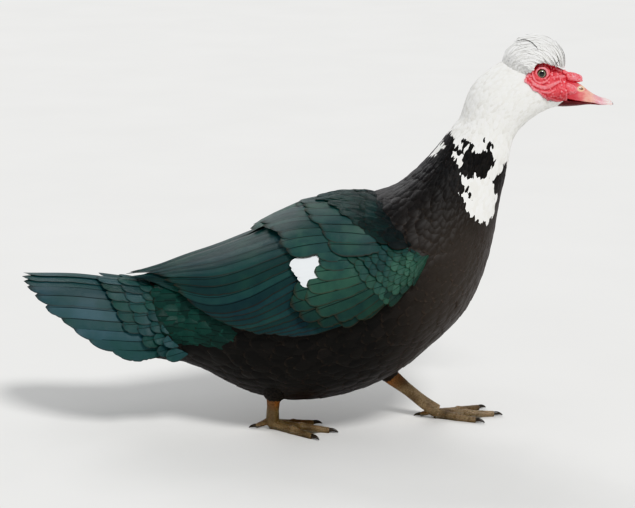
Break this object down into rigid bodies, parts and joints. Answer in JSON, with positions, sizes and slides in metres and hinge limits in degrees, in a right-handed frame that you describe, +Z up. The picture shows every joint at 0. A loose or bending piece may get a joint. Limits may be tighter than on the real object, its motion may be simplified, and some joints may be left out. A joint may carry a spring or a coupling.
{
  "type": "muscovy duck",
  "caption": "Life-size still model of a muscovy drake in mid stride, with folded wings, a drooping fan of tail feathers, a raised crest and a bare red warty face.",
  "frame": {"origin": "centre of the bounding box, on the floor that the feet stand on", "axes": "+X towards the bill, +Y to the bird's left, +Z up"},
  "size_m": [0.7312, 0.2288, 0.5009],
  "materials": {
    "torso": "black feathers with a faint brown and purple sheen",
    "neck": "black and white feathers in blotches",
    "head": "short white feathers",
    "crest": "white feathers",
    "face": "bare red skin in folds and small bulbs",
    "bill_upper": "pink horn, redder at its root",
    "bill_lower": "dark red horn",
    "eyes": "wet, with a grey-green iris and a black pupil",
    "wings": "iridescent green and blue feathers with brown edges",
    "tail": "slate-blue feathers with a soft sheen",
    "thighs": "short black feathers",
    "legs": "brown-grey scaly skin",
    "claws": "dark horn"
  },
  "bodies": {
    "root": {"torso": "torso", "neck": "neck", "head": "head", "crest": "crest", "face": "face", "bill_upper": "bill_upper", "bill_lower": "bill_lower", "eye_right": "eyes", "eye_left": "eyes", "wing_right": "wings", "wing_left": "wings", "tail": "tail", "thigh_right": "thighs", "thigh_left": "thighs", "leg_right": "legs", "leg_left": "legs", "claw_right_1": "claws", "claw_right_2": "claws", "claw_right_3": "claws", "claw_right_4": "claws", "claw_left_1": "claws", "claw_left_2": "claws", "claw_left_3": "claws", "claw_left_4": "claws"}
  },
  "joints": []
}
